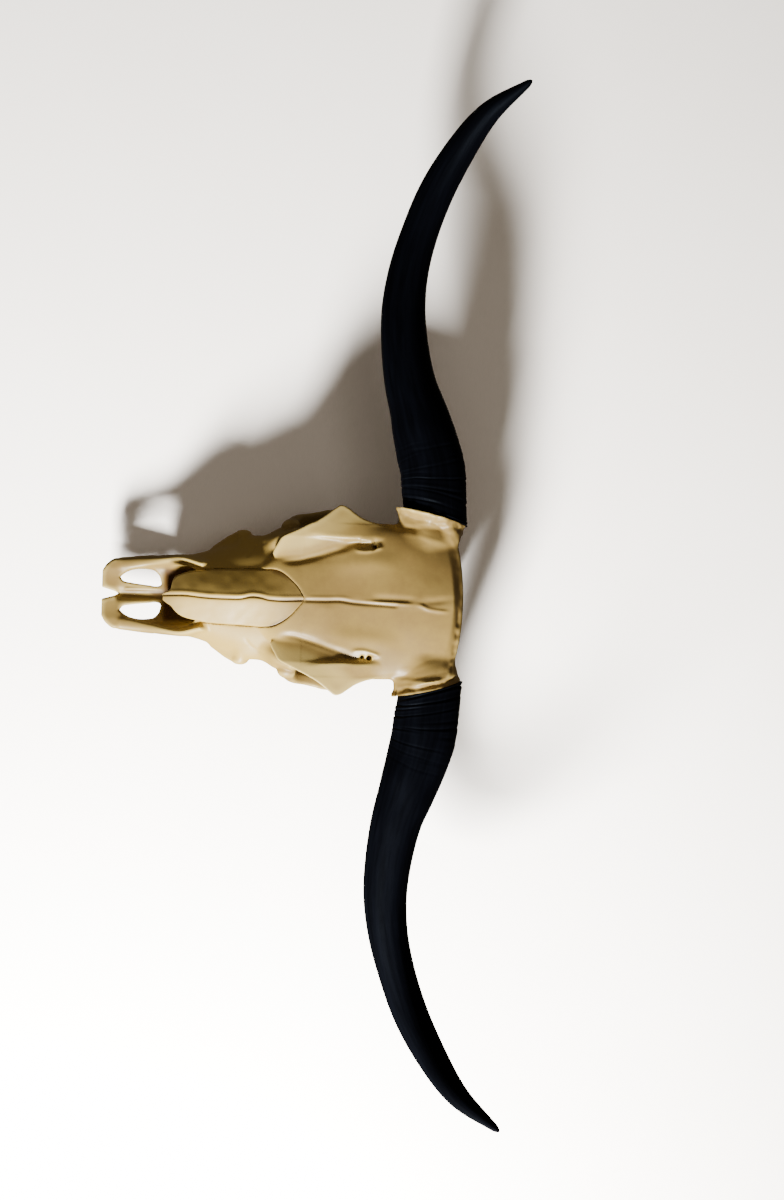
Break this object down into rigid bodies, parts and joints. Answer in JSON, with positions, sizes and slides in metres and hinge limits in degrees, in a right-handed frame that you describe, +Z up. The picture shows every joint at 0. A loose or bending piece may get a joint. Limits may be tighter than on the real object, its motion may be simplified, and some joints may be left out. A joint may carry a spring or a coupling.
{
  "type": "longhorn cow skull replica",
  "caption": "Life-size replica of a longhorn cow skull without its lower jaw, pale bone with long black horns that sweep out, forward and up, lying on its cheek teeth.",
  "frame": {"origin": "middle of the bounding box at the level of the worn tooth faces that the skull rests on", "axes": "+X from the nose towards the poll, +Y towards the skull's right horn, +Z up out of the forehead"},
  "size_m": [0.5138, 1.2586, 0.316],
  "materials": {
    "bone": "satin cream moulded bone",
    "horn": "satin black"
  },
  "bodies": {
    "root": {"cranium": "bone", "nasal_left": "bone", "nasal_right": "bone", "maxilla_left": "bone", "maxilla_right": "bone", "premaxilla_left": "bone", "premaxilla_right": "bone", "zygomatic_left": "bone", "zygomatic_right": "bone", "horn_left": "horn", "horn_right": "horn"}
  },
  "joints": []
}
